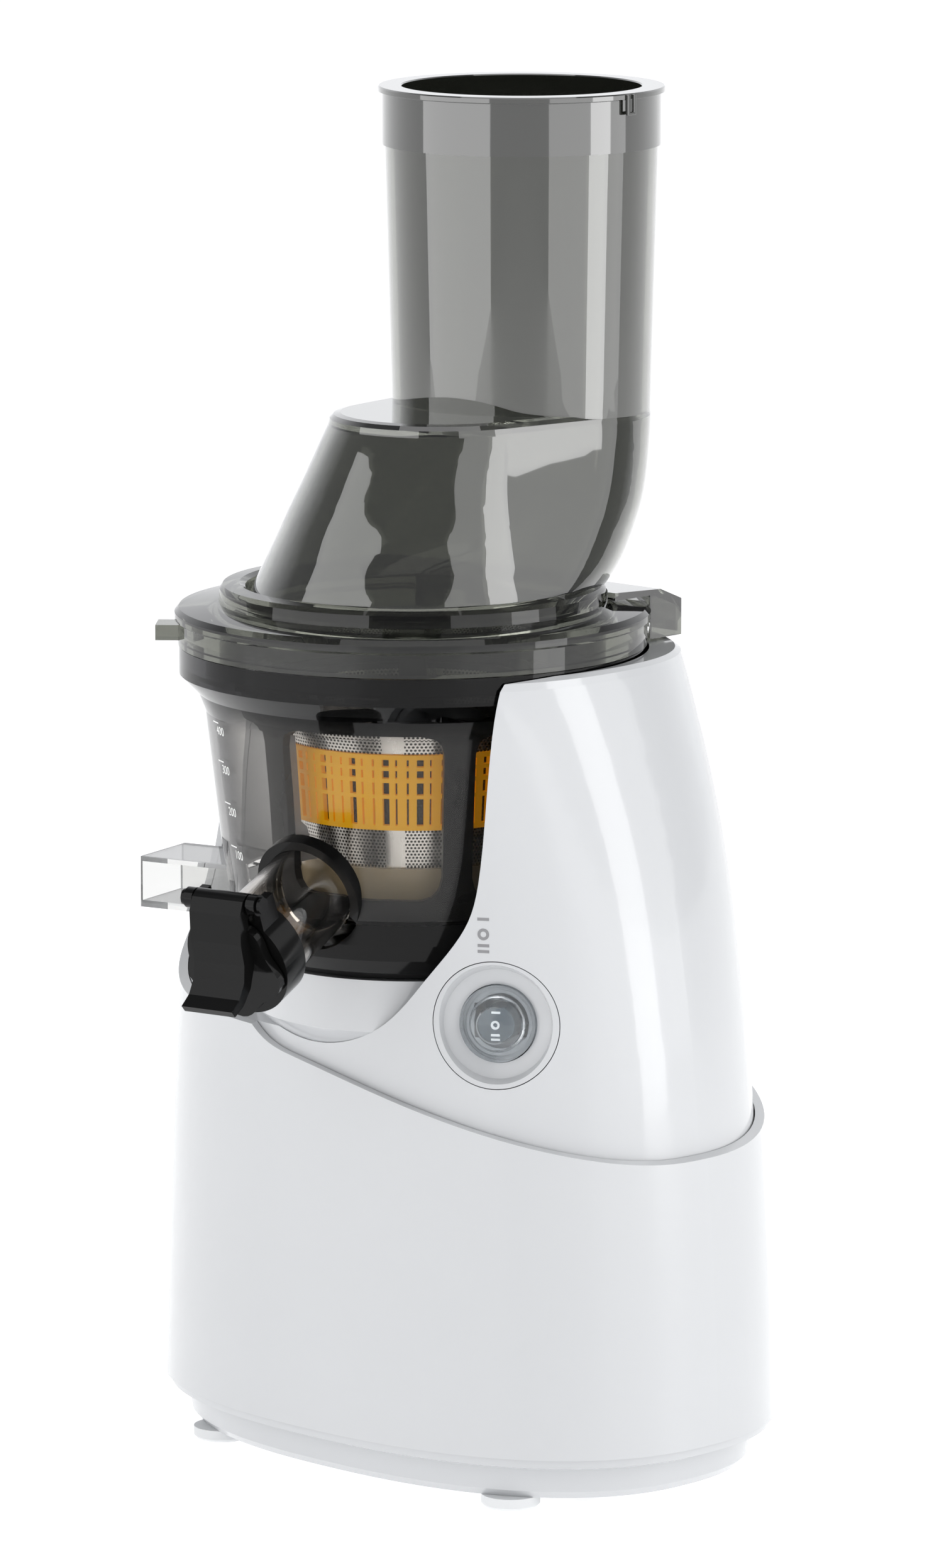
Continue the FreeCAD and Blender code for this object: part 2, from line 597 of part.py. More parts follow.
def make_spout_cap_ring():
    pin_up, pin_out = CAP_PIN
    ring = cyl(SPOUT_R + 3.0, RING_Z0, RING_Z1)
    for side in (-1, 1):
        x = side * (LEVER_HALF + 2.2)
        ring = ring.fuse(box(x - 1.6, x + 1.6, SPOUT_R - 4.0, pin_up, RING_Z0 + 2.0, RING_Z1))
        ring = ring.fuse(Part.makeCylinder(3.4, 3.2, V(x - 1.6, pin_up, pin_out), V(1, 0, 0)))
    ring = ring.cut(cyl(SPOUT_R + 0.05, RING_Z0 - 5, SPOUT_LEN))
    ring = ring.cut(cyl(SPOUT_R - SPOUT_WALL, RING_Z0 - 1, RING_Z1 + 9))
    return placed(ring.cut(cross_bar(1.5, 20.0, *CAP_PIN)), SPOUT)


def make_cap_pin():
    pin = cross_bar(1.45, LEVER_HALF + 4.2, *CAP_PIN)
    heads = [Part.makeCylinder(2.6, 1.2, V(x, *CAP_PIN), V(1, 0, 0))
             for x in (-LEVER_HALF - 5.3, LEVER_HALF + 4.1)]
    return placed(joined([pin] + heads), SPOUT)


def make_cap_lever():
    pin_up, pin_out = CAP_PIN
    face = RING_Z1 + 0.5
    lobes = []
    for i in range(60):
        angle = math.tau * i / 60
        radius = 16.4 + 1.5 * math.cos(5 * angle)
        lobes.append(V(radius * math.sin(angle), radius * -math.cos(angle), face))
    plate = Part.Face(Part.makePolygon(lobes + lobes[:1])).extrude(V(0, 0, 3.2))
    # side view of the paddle, over the hinge, down the front and out into the thumb tab
    front = [(pin_up + 3.4, pin_out), (pin_up + 2.6, pin_out + 3.0), (pin_up - 1.0, pin_out + 6.2),
             (12.0, face + 7.6), (5.0, face + 8.4), (0.0, face + 10.6), (-3.6, face + 15.0),
             (-5.0, face + 20.0)]
    rear = [(-7.4, face + 19.0), (-6.6, face + 13.6), (-3.4, face + 8.0), (3.0, face + 3.0),
            (pin_up - 4.0, face + 1.2), (pin_up - 3.4, pin_out)]
    outline = [V(-LEVER_HALF, y, z) for y, z in front + rear]
    paddle = Part.Face(Part.makePolygon(outline + outline[:1])).extrude(V(2 * LEVER_HALF, 0, 0))
    knuckle = cross_bar(3.4, LEVER_HALF, *CAP_PIN)
    lever = plate.fuse(paddle).fuse(knuckle)
    lever = lever.cut(cross_bar(1.5, 20.0, *CAP_PIN))
    return placed(lever.cut(cyl(SPOUT_R + 3.4, RING_Z0 - 1.0, RING_Z1 + 0.4)), SPOUT)


def make_cap_gasket():
    return placed(cyl(SPOUT_R - SPOUT_WALL - 0.5, RING_Z1 - 3.0, RING_Z1 + 0.45), SPOUT)


def make_pulp_duct():
    outer = duct_box(DUCT_W - 0.1, 0.0, DUCT_H - 0.1, 57.6, DUCT_TIP)
    inner = duct_box(DUCT_W - 2 * DUCT_WALL, DUCT_WALL, DUCT_H - DUCT_WALL, 50.0, DUCT_TIP + 5)
    return outer.cut(inner)


STRAINER_TOP, BAND_TOP, BAND_LOW, MESH_LOW = 256.0, 241.5, 216.8, 200.5
STRAINER_FLOOR = 186.0


def sleeve(r0, r1, thick, z0, z1):
    return turned([(r0, z0), (r1, z1), (r1 - thick, z1), (r0 - thick, z0)])


def make_strainer_mesh():
    upper = sleeve(42.6, 46.6, 0.8, BAND_TOP + 0.1, STRAINER_TOP)
    middle = sleeve(38.9, 41.0, 0.8, BAND_LOW, BAND_TOP + 0.1)
    lower = sleeve(36.6, 38.9, 0.8, MESH_LOW, BAND_LOW)
    ledge = tube(42.6, 40.0, BAND_TOP + 0.1, BAND_TOP + 0.9, 0.0, BOWL_Y)
    return joined([upper, middle, lower, ledge])


def make_strainer_band():
    return sleeve(41.2, 43.2, 1.9, BAND_LOW, BAND_TOP)


def make_strainer_top_ring():
    return turned([(46.7, 252.0), (48.6, 252.0), (48.6, 258.0), (45.0, 258.0), (45.0, 256.1), (46.7, 256.1)])


def make_strainer_base():
    cup = turned([(14.0, STRAINER_FLOOR), (34.0, STRAINER_FLOOR), (37.2, 190.0), (38.2, MESH_LOW + 3.0),
                  (37.2, MESH_LOW + 3.0), (36.8, MESH_LOW - 0.1), (34.6, MESH_LOW - 0.1), (34.2, 191.0),
                  (32.6, STRAINER_FLOOR + 2.4), (14.0, STRAINER_FLOOR + 2.4)])
    feet = []
    for angle in (150, 270, 30):
        a = math.radians(angle)
        x, y = 30.0 * math.cos(a), BOWL_Y + 30.0 * math.sin(a)
        feet.append(cyl(2.6, FLOOR_Z1, STRAINER_FLOOR + 0.5, x, y))
    return joined([cup] + feet)


IDLER_ANGLE = math.radians(90)
IDLER_R = BOWL_MODULE * AUGER_TEETH
GEAR_Z0, GEAR_Z1 = FLOOR_Z1 + 0.8, FLOOR_Z1 + 6.6
IDLER_POS = (IDLER_R * math.cos(IDLER_ANGLE), BOWL_Y + IDLER_R * math.sin(IDLER_ANGLE))


def make_idler_pin():
    return cyl(2.5, FLOOR_Z1, GEAR_Z1 + 0.6, *IDLER_POS)


def make_idler_gear():
    wheel = gear(AUGER_TEETH, BOWL_MODULE, GEAR_Z0, GEAR_Z1, *IDLER_POS, phase=0.5, backlash=0.26)
    return wheel.cut(cyl(2.55, GEAR_Z0 - 1, GEAR_Z1 + 1, *IDLER_POS))


def helix_flight(radius_low, radius_high, z0, rise, turns, thick, phase):
    """Auger flight: a ribbon lofted through upright sections along a helix."""
    sections = []
    steps = int(turns * 16)
    for i in range(steps + 1):
        t = i / steps
        angle = phase + math.tau * turns * t
        outer = radius_low + (radius_high - radius_low) * t
        z = z0 + rise * t
        c, s = math.cos(angle), math.sin(angle)
        corners = [(4.0, z - thick), (outer, z - thick / 2), (outer, z + thick / 2), (4.0, z + thick)]
        points = [V(r * c, BOWL_Y + r * s, h) for r, h in corners]
        sections.append(Part.makePolygon(points + points[:1]))
    return Part.makeLoft(sections, True, False)


def make_auger():
    low = gear(AUGER_TEETH, BOWL_MODULE, GEAR_Z0, GEAR_Z1, 0.0, BOWL_Y, backlash=0.26)
    core = turned([(0, GEAR_Z1 - 0.1), (10.0, GEAR_Z1 - 0.1), (10.0, GEAR_Z1 + 0.4),
                   (13.0, STRAINER_FLOOR + 2.8),
                   (25.0, STRAINER_FLOOR + 3.4), (25.0, 194.0), (15.0, 226.0), (11.0, 252.0), (7.0, 258.0),
                   (4.6, 259.0), (4.6, 275.0), (0, 276.0)])
    flights = [helix_flight(33.6, 31.0, 192.5, 56.0, 1.5, 2.2, math.pi * k) for k in range(2)]
    auger = joined([low, core] + flights)
    auger = auger.cut(hexagon(HEX_FLATS + 0.5, GEAR_Z0 - 2, 199.0))
    return auger.cut(cyl(SHAFT_R + 0.5, GEAR_Z0 - 2, GEAR_Z0 + 0.5, 0.0, BOWL_Y))


BRUSH_LOW, BRUSH_TOP = 186.5, 259.5
WINDOW_LOW, WINDOW_TOP = 195.5, 250.0
BARS, BAR_ANGLE, FIRST_BAR = 5, 11.0, -30.5
BAR_PITCH = 360.0 / BARS


def make_brush_frame():
    cone = turned([(49.4, BRUSH_LOW), (52.2, 226.0), (54.4, 250.0), (57.6, 257.0), (57.6, BRUSH_TOP),
                   (53.6, BRUSH_TOP), (51.6, 250.0), (49.4, 226.0), (46.6, BRUSH_LOW)])
    for i in range(BARS):
        wedge = window_wedge(BAR_PITCH * i + FIRST_BAR + BAR_ANGLE / 2, BAR_PITCH - BAR_ANGLE)
        cone = cone.cut(wedge)
    ring = turned([(38.0, GEAR_Z0), (43.0, GEAR_Z0), (49.4, BRUSH_LOW), (49.4, BRUSH_LOW + 2.0),
                   (46.6, BRUSH_LOW + 2.0), (41.6, GEAR_Z1), (38.0, GEAR_Z1)])
    teeth_cut = gear(RING_TEETH, BOWL_MODULE, GEAR_Z0 - 1, GEAR_Z1 + 1, 0.0, BOWL_Y, phase=0.5,
                     backlash=-0.16, addendum=1.15, dedendum=0.85)
    ring_blank = tube(41.0, 30.0, GEAR_Z0, GEAR_Z1, 0.0, BOWL_Y).cut(teeth_cut)
    return joined([cone, ring, biggest(ring_blank)])


def window_wedge(start, span):
    """Rounded window through the frame between two bars."""
    middle = math.radians(start + span / 2)
    half = math.radians(span / 2)
    corner = 7.0
    outline = []
    radius = 52.0
    low, top, width = WINDOW_LOW, WINDOW_TOP, half * radius
    for cx, cz, a0 in ((width - corner, low + corner, -90), (width - corner, top - corner, 0),
                       (-width + corner, top - corner, 90), (-width + corner, low + corner, 180)):
        for i in range(4):
            a = math.radians(a0 + 30 * i)
            outline.append((cx + corner * math.cos(a), cz + corner * math.sin(a)))
    wires = []
    for r in (40.0, 66.0):
        points = [V(r * math.cos(middle + s / radius), BOWL_Y + r * math.sin(middle + s / radius), z)
                  for s, z in outline]
        wires.append(Part.makePolygon(points + points[:1]))
    return Part.makeLoft(wires, True, True)


# ---- lid ----------------------------------------------------------------------------------------
# Lower chute sections every CHUTE_RISE: a front and a back circle (centre, radius) in one outline.
CHUTE_Z0, CHUTE_RISE = 285.0, 7.0
CHUTE_BODY = [
    (11.0, 54.0, 16.0, 53.9), (12.2, 51.4, 27.8, 53.2), (13.3, 48.8, 36.6, 51.6),
    (14.4, 46.2, 43.6, 49.8), (15.5, 43.8, 49.8, 48.0), (17.0, 41.4, 54.6, 46.2),
    (19.0, 39.4, 58.0, 44.7), (21.4, 37.8, 60.6, 43.5), (24.2, 36.4, 62.4, 42.6)]
CHUTE_BODY_TOP = CHUTE_Z0 + CHUTE_RISE * (len(CHUTE_BODY) - 1)
SHOULDER = [(0.0, 0.0), (2.2, 0.5), (3.5, 1.8), (4.0, 4.0)]       # rise above the flank, inset


def two_circle_wire(z, front_y, front_r, back_y, back_r):
    """Outline round two circles on the centre plane, closed by their tangent lines."""
    lean = math.asin((front_r - back_r) / (back_y - front_y))
    c, s = math.cos(lean), math.sin(lean)
    right_front, right_back = V(front_r * c, front_y + front_r * s, z), V(back_r * c, back_y + back_r * s, z)
    left_front, left_back = V(-right_front.x, right_front.y, z), V(-right_back.x, right_back.y, z)
    back = Part.Arc(right_back, V(0, back_y + back_r, z), left_back).toShape()
    front = Part.Arc(left_front, V(0, front_y - front_r, z), right_front).toShape()
    right = Part.makeLine(right_front, right_back)
    left = Part.makeLine(left_back, left_front)
    return Part.Wire([right, back, left, front])


def chute_body(inset):
    wires = []
    for i, (front_y, front_r, back_y, back_r) in enumerate(CHUTE_BODY):
        z = CHUTE_Z0 + CHUTE_RISE * i
        wires.append(two_circle_wire(z, front_y, front_r - inset, back_y, back_r - inset))
    return Part.makeLoft(wires, True, False)


def chute_shoulder():
    front_y, front_r, back_y, back_r = CHUTE_BODY[-1]
    wires = [two_circle_wire(CHUTE_BODY_TOP + rise, front_y, front_r - inset, back_y, back_r - inset)
             for rise, inset in SHOULDER]
    return Part.makeLoft(wires, True, True)


def chute_pipe(inset, z_low, z_high):
    return Part.makeCone(CHUTE_R0 - inset, CHUTE_R1 - inset, z_high - z_low, V(0, CHUTE_Y, z_low))


def make_chute():
    solid = chute_body(0.0).fuse(chute_shoulder()).fuse(chute_pipe(0.0, CHUTE_BODY_TOP, BAND_Z))
    hollow = chute_body(CHUTE_WALL).fuse(chute_pipe(CHUTE_WALL, CHUTE_BODY_TOP - 0.1, BAND_Z + 0.5))
    hollow = hollow.fuse(cyl(54.0 - CHUTE_WALL, CHUTE_Z0 - 2, CHUTE_Z0 + 3.0, 0.0, BOWL_Y))
    return biggest(solid.cut(hollow))


def make_chute_band():
    outline = [(CHUTE_R1 - 4.4, BAND_Z), (CHUTE_R1 + 0.9, BAND_Z), (CHUTE_R1 + 0.9, HEIGHT - 2.2),
               (CHUTE_R1 + 2.2, HEIGHT - 1.8), (CHUTE_R1 + 2.2, HEIGHT - 0.4), (CHUTE_R1 + 1.8, HEIGHT),
               (39.4, HEIGHT), (39.0, HEIGHT - 0.4), (39.0, BAND_Z + 6.0)]
    band = turned(outline, CHUTE_Y)
    return band


def make_lid():
    outline = [(54.1, LID_TOP + 1.0), (54.1, COLLAR_TOP - 1.0), (56.0, COLLAR_TOP), (61.4, COLLAR_TOP - 0.4),
               (62.4, COLLAR_TOP - 1.8), (62.8, LID_TOP + 1.2), (75.6, LID_TOP - 0.6), (77.0, LID_TOP - 2.2),
               (77.0, 279.6), (75.9, 278.8), (75.9, RIM_Z1 + 0.3), (64.6, RIM_Z1 + 0.3), (64.6, 263.5),
               (62.6, 263.5), (62.6, 279.0), (54.1, 281.0)]
    ring = turned(outline)
    floor = tube(54.2, 51.2, 280.4, LID_TOP + 1.0, 0.0, BOWL_Y)
    bridge = box(-5.0, 5.0, BOWL_Y - 60.0, BOWL_Y, 272.5, 281.5)
    hub = cyl(9.5, 268.0, 281.5, 0.0, BOWL_Y)
    tab = box(-5.0, 5.0, -6.0, 6.0, 272.0, 277.0)
    tab.translate(V(78.0, 0, 0))
    tab.rotate(V(0, 0, 0), UP, -140.0)
    tab.translate(V(0, BOWL_Y, 0))
    lid = joined([ring, floor, bridge, hub, tab])
    lid = lid.cut(cyl(6.6, 260.0, 277.5, 0.0, BOWL_Y))
    return biggest(lid.cut(chute_body(-0.05)))


def make_lid_bushing():
    return tube(6.55, 4.65, 268.2, 277.4, 0.0, BOWL_Y)


def make_lid_gasket():
    return tube(66.8, 64.65, 264.5, 269.0, 0.0, BOWL_Y)


TAIL_W, TAIL_BACK = 52.0, BOWL_Y + 80.5
MAGNET_R, MAGNET_TOP, MAGNET_AT = 1.5, TOWER_TOP + 3.4, (9.0, TAIL_BACK - 2.4)


def make_lid_tail():
    profile = [(BOWL_Y + 40.0, 288.0), (BOWL_Y + 62.0, 287.0), (BOWL_Y + 72.0, 283.0),
               (TAIL_BACK - 2.0, 275.6),
               (TAIL_BACK, 272.4), (TAIL_BACK, TOWER_TOP + 1.0), (BOWL_Y + 40.0, TOWER_TOP + 1.0)]
    points = [V(-TAIL_W, y, z) for y, z in profile]
    block = Part.Face(Part.makePolygon(points + points[:1])).extrude(V(2 * TAIL_W, 0, 0))
    hollow = [(BOWL_Y + 38.0, 285.6), (BOWL_Y + 61.0, 284.6), (BOWL_Y + 70.6, 280.8),
              (TAIL_BACK - 4.0, 274.2),
              (TAIL_BACK - 4.0, TOWER_TOP - 2.0), (BOWL_Y + 38.0, TOWER_TOP - 2.0)]
    points = [V(-TAIL_W + 2.4, y, z) for y, z in hollow]
    cavity = Part.Face(Part.makePolygon(points + points[:1])).extrude(V(2 * TAIL_W - 4.8, 0, 0))
    shell = block.cut(cavity)
    ribs = []
    for i in range(5):
        x = -36.0 + 18.0 * i
        edge = Part.makePolygon([V(x, y, z) for y, z in profile + profile[:1]])
        rib = Part.Face(edge).extrude(V(1.6, 0, 0))
        ribs.append(rib.common(box(-60, 60, BOWL_Y + 60.0, 200, TOWER_TOP + 3.0, 300)))
    tail = joined([shell] + ribs)
    tail = tail.common(cyl(89.0, 200.0, 300.0, 0.0, BOWL_Y))
    tail = tail.cut(cyl(77.1, 200.0, 285.4, 0.0, BOWL_Y)).cut(cyl(63.0, 200.0, 300.0, 0.0, BOWL_Y))
    tail = tail.cut(cyl(MAGNET_R + 0.05, 260.0, MAGNET_TOP, *MAGNET_AT))
    return biggest(tail.cut(chute_body(-0.05)))


def make_lid_magnet():
    return cyl(MAGNET_R, TOWER_TOP + 1.2, MAGNET_TOP, *MAGNET_AT)


WIPER_IN = [(38.6, 204.0), (41.4, 215.0), (43.6, 217.0), (45.4, 240.0), (46.0, 246.0), (51.15, 246.0),
            (49.3, 226.0), (47.8, 204.0)]
WIPER_OUT = [(50.75, 204.0), (52.3, 226.0), (54.1, 246.0), (62.6, 246.0), (59.2, 213.0), (58.6, 204.0)]


def make_brush_wipers():
    """Silicone blades clipped to the frame's bars, wiping the strainer inside and the bowl outside."""
    blades = []
    for i in range(BARS):
        inward = i % 2 == 0
        profile = WIPER_IN if inward else WIPER_OUT
        outline = [V(r, -0.7, z) for r, z in profile]
        blade = Part.Face(Part.makePolygon(outline + outline[:1])).extrude(V(0, 1.4, 0))
        blade.rotate(V(0, 0, 0), UP, BAR_PITCH * i + FIRST_BAR)
        blade.translate(V(0, BOWL_Y, 0))
        blades.append(blade)
    return group(blades)


NODES = {
    "tower_housing": make_tower_housing,
    "outer_housing": make_outer_housing,
    "bottom_cover": make_bottom_cover,
    "feet": make_feet,
    "bottom_screws": make_bottom_screws,
    "recess_liner": make_recess_liner,
    "switch_bezel": make_switch_bezel,
    "switch_body": make_switch_body,
    "switch_boot": make_switch_boot,
    "rocker_button": make_rocker_button,
    "cord_inlet": make_cord_inlet,
    "motor_case": make_motor_case,
    "motor_bracket": make_motor_bracket,
    "motor_stator": make_motor_stator,
    "motor_windings": make_motor_windings,
    "motor_bearings": make_motor_bearings,
    "motor_rotor": make_motor_rotor,
    "motor_fan": make_motor_fan,
    "gearbox_housing": make_gearbox_housing,
    "gearbox_cover": make_gearbox_cover,
    "output_bearings": make_output_bearings,
    "intermediate_gear": make_intermediate_gear,
    "intermediate_shaft": make_intermediate_shaft,
    "output_gear": make_output_gear,
    "drive_shaft": make_drive_shaft,
    "drive_seal": make_drive_seal,
    "control_board": make_control_board,
    "motor_capacitor": make_motor_capacitor,
    "bowl_sensor": make_bowl_sensor,
    "bowl": make_bowl,
    "bowl_base_ring": make_bowl_base_ring,
    "drip_gasket": make_drip_gasket,
    "bowl_shaft_seal": make_bowl_shaft_seal,
    "spout_collar": make_spout_collar,
    "juice_spout": make_juice_spout,
    "spout_cap_ring": make_spout_cap_ring,
    "cap_pin": make_cap_pin,
    "cap_lever": make_cap_lever,
    "cap_gasket": make_cap_gasket,
    "pulp_duct": make_pulp_duct,
    "strainer_mesh": make_strainer_mesh,
    "strainer_band": make_strainer_band,
    "strainer_top_ring": make_strainer_top_ring,
    "strainer_base": make_strainer_base,
    "idler_pin": make_idler_pin,
    "idler_gear": make_idler_gear,
    "auger": make_auger,
    "brush_frame": make_brush_frame,
    "brush_wipers": make_brush_wipers,
    "lid": make_lid,
    "lid_bushing": make_lid_bushing,
    "lid_gasket": make_lid_gasket,
    "lid_tail": make_lid_tail,
    "lid_magnet": make_lid_magnet,
    "chute": make_chute,
    "chute_band": make_chute_band,
}

if __name__ == "__main__":
    for name, make in NODES.items():
        shape = make()
        shape.translate(V(0, -ORIGIN_Y, 0))
        shape.exportStep("parts/%s.step" % name)
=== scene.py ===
"""Looks of the slow juicer: materials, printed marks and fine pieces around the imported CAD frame."""
import json
import math

import bmesh
import bpy
from mathutils import Matrix, Vector
from mathutils.bvhtree import BVHTree


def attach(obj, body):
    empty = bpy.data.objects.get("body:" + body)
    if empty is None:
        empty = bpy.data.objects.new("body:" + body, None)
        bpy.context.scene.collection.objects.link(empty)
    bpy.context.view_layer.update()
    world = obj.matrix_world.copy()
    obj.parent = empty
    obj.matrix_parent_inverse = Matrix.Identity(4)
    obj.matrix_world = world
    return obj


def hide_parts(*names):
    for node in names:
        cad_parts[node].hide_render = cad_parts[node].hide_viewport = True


MM = 0.001

# ---- named dimensions, in millimetres in the row frame ------------------------------------------
BOWL_Y = 7.0
CHUTE_Y = 58.8
SWITCH_AT = Vector((66.0, -25.2, 158.7))
SWITCH_AXIS = Vector((0.5, -0.866, 0.06)).normalized()
SWITCH_SIDE = Vector((0.866, 0.5, 0.0)).normalized()

CAMERA_AT = Vector((1853.3, -1961.8, 699.9))
CAMERA_AIM = Vector((18.07, 13.1, 225.9))
CAMERA_LENS = 194.4
SENSOR = 36.0

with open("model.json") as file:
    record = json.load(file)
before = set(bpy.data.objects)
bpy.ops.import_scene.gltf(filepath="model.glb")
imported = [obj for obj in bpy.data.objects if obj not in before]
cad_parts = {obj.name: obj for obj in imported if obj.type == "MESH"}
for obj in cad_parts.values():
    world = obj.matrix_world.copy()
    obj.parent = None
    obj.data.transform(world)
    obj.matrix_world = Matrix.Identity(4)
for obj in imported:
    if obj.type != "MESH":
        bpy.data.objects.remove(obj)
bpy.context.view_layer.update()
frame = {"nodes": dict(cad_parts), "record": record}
NODES = frame["nodes"]


# ---- camera -------------------------------------------------------------------------------------
def make_camera():
    """Camera at the photograph's viewing angle."""
    data = bpy.data.cameras.new("camera")
    data.lens = CAMERA_LENS
    data.sensor_width = SENSOR
    camera = bpy.data.objects.new("camera", data)
    bpy.context.scene.collection.objects.link(camera)
    camera.location = CAMERA_AT * MM
    camera.rotation_mode = "QUATERNION"
    camera.rotation_quaternion = (CAMERA_AIM - CAMERA_AT).to_track_quat("-Z", "Y")
    bpy.context.scene.camera = camera


# ---- material helpers ---------------------------------------------------------------------------
NOISE_SPAN = (0.3, 0.7)
CLOUD_SCALE = 18.0
GLOSS_SCALE = 60.0


class Nodes:
    """Short calls for building one node tree."""

    def __init__(self, material):
        material.use_nodes = True
        self.tree = material.node_tree
        self.tree.nodes.clear()

    def add(self, kind, **inputs):
        node = self.tree.nodes.new(kind)
        for name, value in inputs.items():
            self.put(node, name.replace("_", " "), value)
        return node

    def put(self, node, name, value):
        socket = node.inputs[name]
        if isinstance(value, bpy.types.NodeSocket):
            self.tree.links.new(value, socket)
        else:
            socket.default_value = value

    def math(self, operation, first, second=0.0):
        node = self.tree.nodes.new("ShaderNodeMath")
        node.operation = operation
        for socket, value in zip(node.inputs, (first, second)):
            if isinstance(value, bpy.types.NodeSocket):
                self.tree.links.new(value, socket)
            else:
                socket.default_value = value
        return node.outputs[0]

    def place(self):
        return self.add("ShaderNodeTexCoord").outputs["Object"]

    def noise(self, scale, detail=3.0, stretch=(1.0, 1.0, 1.0)):
        mapping = self.add("ShaderNodeMapping", Vector=self.place(), Scale=stretch)
        noise = self.add("ShaderNodeTexNoise", Vector=mapping.outputs[0], Scale=scale, Detail=detail)
        return noise.outputs["Fac"]

    def spread(self, value, low, high):
        """Maps a noise value, over the part of its range that it mostly fills, to low..high."""
        node = self.add("ShaderNodeMapRange", Value=value)
        node.inputs["From Min"].default_value, node.inputs["From Max"].default_value = NOISE_SPAN
        node.inputs["To Min"].default_value = low
        node.inputs["To Max"].default_value = high
        return node.outputs[0]

    def blend(self, factor, first, second):
        node = self.add("ShaderNodeMix")
        node.data_type = "RGBA"
        for socket, value in zip((node.inputs[0], node.inputs[6], node.inputs[7]), (factor, first, second)):
            if isinstance(value, bpy.types.NodeSocket):
                self.tree.links.new(value, socket)
            else:
                socket.default_value = value
        return node.outputs[2]

    def bump(self, height, strength, distance=0.0002):
        node = self.add("ShaderNodeBump", Height=height, Strength=strength, Distance=distance)
        return node.outputs[0]

    def edge_on_shade(self, low, high):
        """0 where glass is seen square on, 1 where it is seen edge on; it weights the painted shade of
        clear walls, which partly stands for the longer path through the wall.
        """
        facing = self.add("ShaderNodeLayerWeight", Blend=0.5).outputs["Facing"]
        node = self.add("ShaderNodeMapRange", Value=facing)
        node.interpolation_type = "SMOOTHSTEP"
        node.inputs["From Min"].default_value = low
        node.inputs["From Max"].default_value = high
        return node.outputs[0]

    def cylinder(self):
        """Angle and height round the bowl's axis, in radians and metres."""
        xyz = self.add("ShaderNodeSeparateXYZ", Vector=self.place())
        back = self.math("SUBTRACT", xyz.outputs["Y"], BOWL_Y * MM)
        angle = self.math("ARCTAN2", back, xyz.outputs["X"])
        return angle, xyz.outputs["Z"]


def rgba(colour, factor=1.0):
    """Colour with alpha, made darker or lighter by a factor."""
    return tuple(min(channel * factor, 1.0) for channel in colour) + (1.0,)


def finish_shader(nodes, **sockets):
    """Principled shader with the given sockets, wired to the material's output."""
    shader = nodes.add("ShaderNodeBsdfPrincipled")
    for name, value in sockets.items():
        nodes.put(shader, name.replace("_", " "), value)
    output = nodes.add("ShaderNodeOutputMaterial")
    nodes.tree.links.new(shader.outputs[0], output.inputs["Surface"])


def moulded(name, colour, rough, grain=900.0, bump=0.05, vary=0.06, **sockets):
    """Moulded plastic or rubber: fine grain in the surface, soft variation in tone and gloss."""
    material = bpy.data.materials.new(name)
    nodes = Nodes(material)
    cloud = nodes.noise(CLOUD_SCALE)
    tone = nodes.blend(cloud, rgba(colour, 1.0 - vary), rgba(colour, 1.0 + vary))
    gloss = nodes.spread(nodes.noise(GLOSS_SCALE), rough * 0.85, rough * 1.15)
    grain_bump = nodes.bump(nodes.noise(grain), bump)
    finish_shader(nodes, Base_Color=tone, Roughness=gloss, Normal=grain_bump, **sockets)
    return material


def metal(name, colour, rough, stretch=(1.0, 1.0, 1.0), bump=0.15):
    """Drawn, ground or cast metal: streaks along one direction."""
    material = bpy.data.materials.new(name)
    nodes = Nodes(material)
    streaks = nodes.noise(400.0, 4.0, stretch)
    tone = nodes.blend(streaks, rgba(colour, 0.85), rgba(colour, 1.1))
    gloss = nodes.spread(streaks, rough * 0.7, rough * 1.3)
    finish_shader(nodes, Base_Color=tone, Roughness=gloss, Normal=nodes.bump(streaks, bump), Metallic=1.0)
    return material


# The strainer's steel sheet: pitch and radius of its holes, the painted shade in the holes and behind the
# sleeve, the sleeve's heights, the plain strips.
HOLE_PITCH = 1.25 * MM
ROW_PITCH = HOLE_PITCH * 0.866
HOLE_SHARE = 0.33
PAINTED_HOLE_SHADE = (0.02, 0.018, 0.015, 1.0)
PAINTED_SLEEVE_SHADE = (0.05, 0.045, 0.035, 1.0)
MIDDLE_LOW, MIDDLE_HIGH = 217.0 * MM, 241.4 * MM
MESH_RADIUS = 40.0 * MM
STRIP_COUNT = 6
STRIP_SHARE = 0.16


